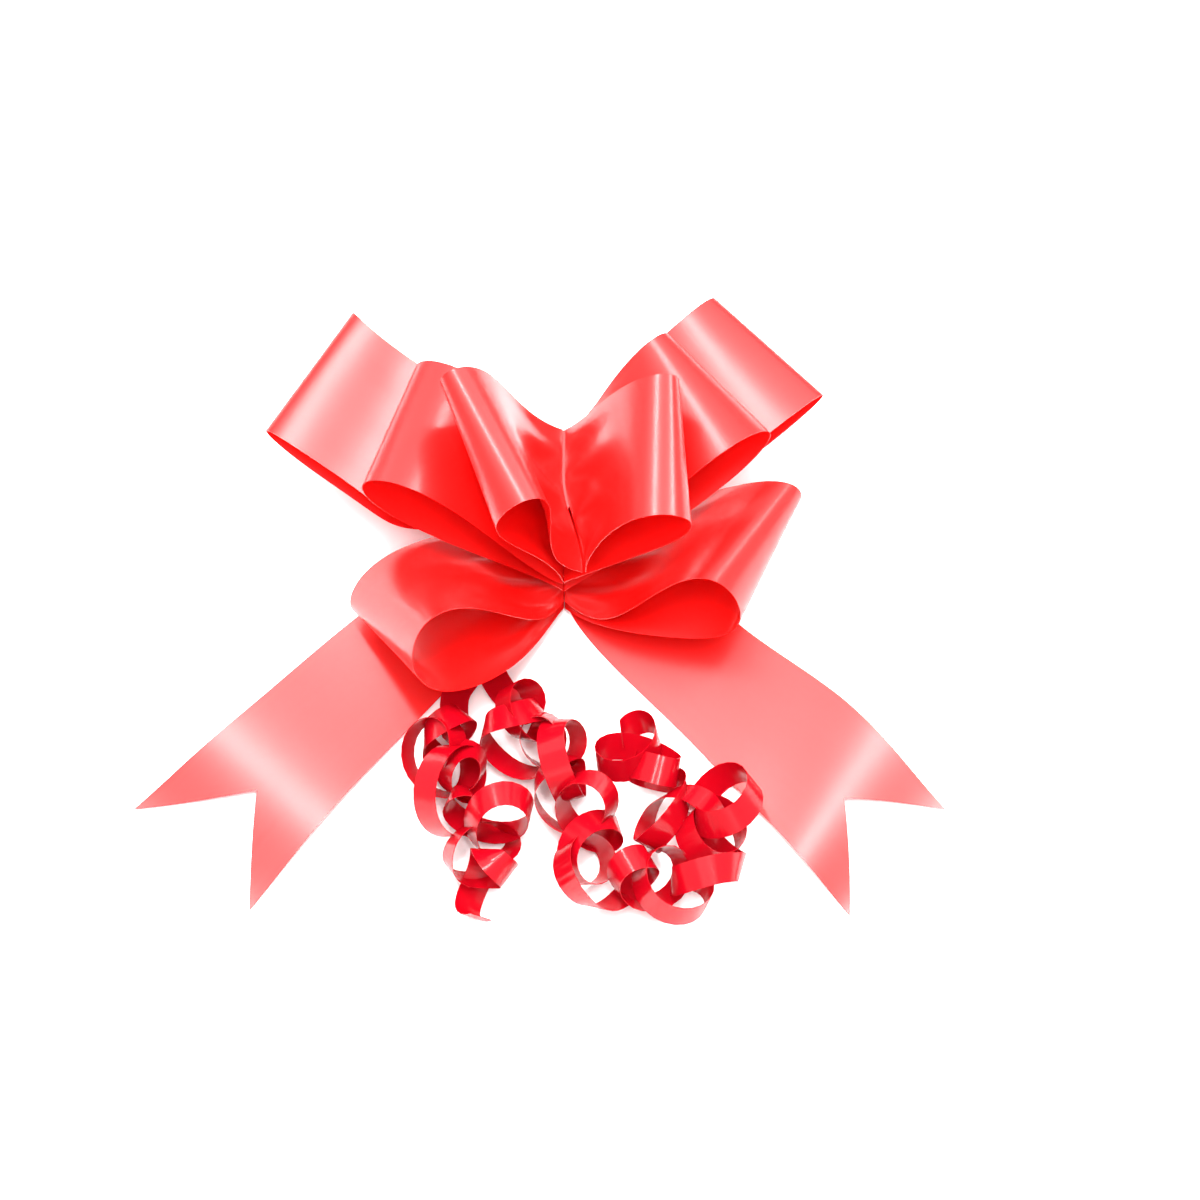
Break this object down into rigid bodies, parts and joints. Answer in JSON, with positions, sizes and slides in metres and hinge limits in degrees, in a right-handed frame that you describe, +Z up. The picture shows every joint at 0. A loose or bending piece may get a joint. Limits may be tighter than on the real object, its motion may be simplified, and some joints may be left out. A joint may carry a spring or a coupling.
{
  "type": "gift bow",
  "caption": "Butterfly pull bow of glossy ribbon, gathered into fanned loops on each side, with swallow-tailed ends and two thin pull strings curled into a loose pile.",
  "frame": {"origin": "under the gather, at the flat underside of the last weld, on the table the bow lies on", "axes": "+Z up, along the pull strings, from the last weld to the front of the bow; +X towards the right-hand loops; -Y towards the swallow tails"},
  "size_m": [0.155, 0.1223, 0.0458],
  "materials": {
    "ribbon": "satin-gloss polypropylene film",
    "strings": "satin-gloss polypropylene film",
    "welds": "fused polypropylene film"
  },
  "bodies": {
    "gather": {"weld_1": "welds", "weld_2": "welds", "weld_3": "welds", "weld_4": "welds", "weld_5": "welds", "left_string_in_gather": "strings", "left_string_lead": "strings", "left_string_curl": "strings", "right_string_in_gather": "strings", "right_string_lead": "strings", "right_string_curl": "strings"},
    "left_loop_1": {"left_loop_1": "ribbon"},
    "left_loop_2": {"left_loop_2": "ribbon"},
    "left_loop_3": {"left_loop_3": "ribbon"},
    "left_loop_4": {"left_loop_4": "ribbon"},
    "left_tail": {"left_tail": "ribbon"},
    "right_loop_1": {"right_loop_1": "ribbon"},
    "right_loop_2": {"right_loop_2": "ribbon"},
    "right_loop_3": {"right_loop_3": "ribbon"},
    "right_loop_4": {"right_loop_4": "ribbon"},
    "right_tail": {"right_tail": "ribbon"}
  },
  "joints": [
    {"name": "left_loop_1_bend", "type": "hinge", "parent": "gather", "child": "left_loop_1", "pos_m": [-0.0009, 0, 0.01635], "axis": [0, 1, 0], "range_deg": [-2, 6]},
    {"name": "left_loop_2_bend", "type": "hinge", "parent": "gather", "child": "left_loop_2", "pos_m": [-0.0009, 0, 0.01185], "axis": [0, 1, 0], "range_deg": [-2, 2]},
    {"name": "left_loop_3_bend", "type": "hinge", "parent": "gather", "child": "left_loop_3", "pos_m": [-0.0009, 0, 0.00735], "axis": [0, 1, 0], "range_deg": [-1, 2]},
    {"name": "left_loop_4_bend", "type": "hinge", "parent": "gather", "child": "left_loop_4", "pos_m": [-0.0009, 0, 0.00285], "axis": [0, 1, 0], "range_deg": [-1, 1]},
    {"name": "left_tail_swing", "type": "hinge", "parent": "gather", "child": "left_tail", "pos_m": [0, 0, 0], "axis": [0, 0, -1], "range_deg": [-1, 6]},
    {"name": "right_loop_1_bend", "type": "hinge", "parent": "gather", "child": "right_loop_1", "pos_m": [0.0009, 0, 0.01635], "axis": [0, -1, 0], "range_deg": [-2, 6]},
    {"name": "right_loop_2_bend", "type": "hinge", "parent": "gather", "child": "right_loop_2", "pos_m": [0.0009, 0, 0.01185], "axis": [0, -1, 0], "range_deg": [-2, 2]},
    {"name": "right_loop_3_bend", "type": "hinge", "parent": "gather", "child": "right_loop_3", "pos_m": [0.0009, 0, 0.00735], "axis": [0, -1, 0], "range_deg": [-1, 2]},
    {"name": "right_loop_4_bend", "type": "hinge", "parent": "gather", "child": "right_loop_4", "pos_m": [0.0009, 0, 0.00285], "axis": [0, -1, 0], "range_deg": [-1, 1]},
    {"name": "right_tail_swing", "type": "hinge", "parent": "gather", "child": "right_tail", "pos_m": [0, 0, 0], "axis": [0, 0, 1], "range_deg": [-1, 6]}
  ]
}
